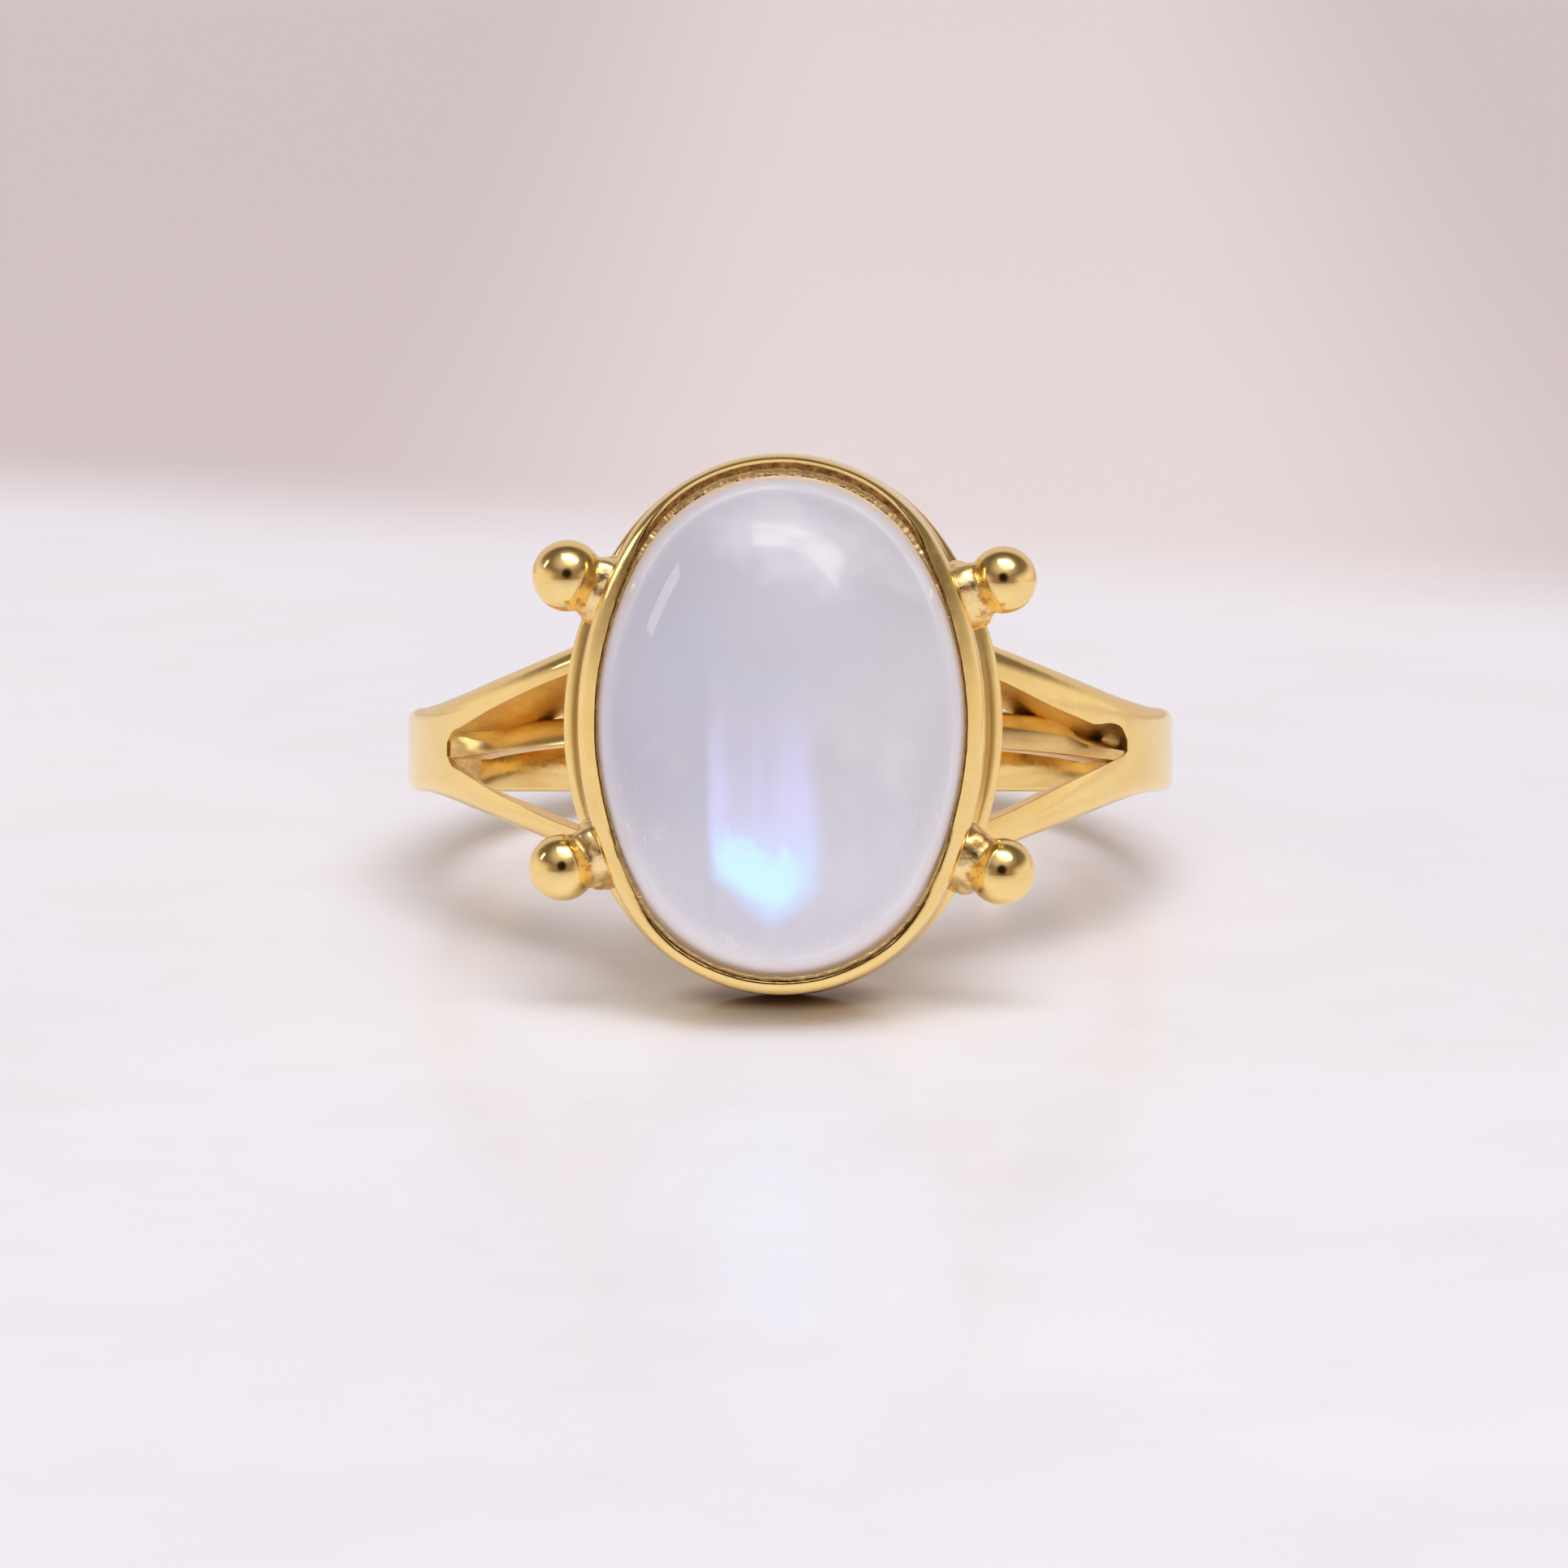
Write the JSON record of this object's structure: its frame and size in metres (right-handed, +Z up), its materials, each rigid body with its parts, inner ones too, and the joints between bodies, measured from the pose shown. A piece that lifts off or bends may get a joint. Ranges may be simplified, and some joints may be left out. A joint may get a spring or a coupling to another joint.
{
  "type": "moonstone ring",
  "caption": "Finger ring with an oval domed stone in a plain bezel, small balls on short stems round it, and a band that splits into arms and a thin bar.",
  "frame": {"origin": "on the surface the ring lies on, under the middle of its box", "axes": "+Z up, -Y towards the stone's face, X along the ring's width; the finger hole leans 14.6 degrees from +Z towards +Y"},
  "size_m": [0.0192, 0.024, 0.013],
  "materials": {
    "gold": "polished",
    "stone": "polished"
  },
  "bodies": {
    "root": {"ring_mount": "gold", "moonstone": "stone"}
  },
  "joints": []
}
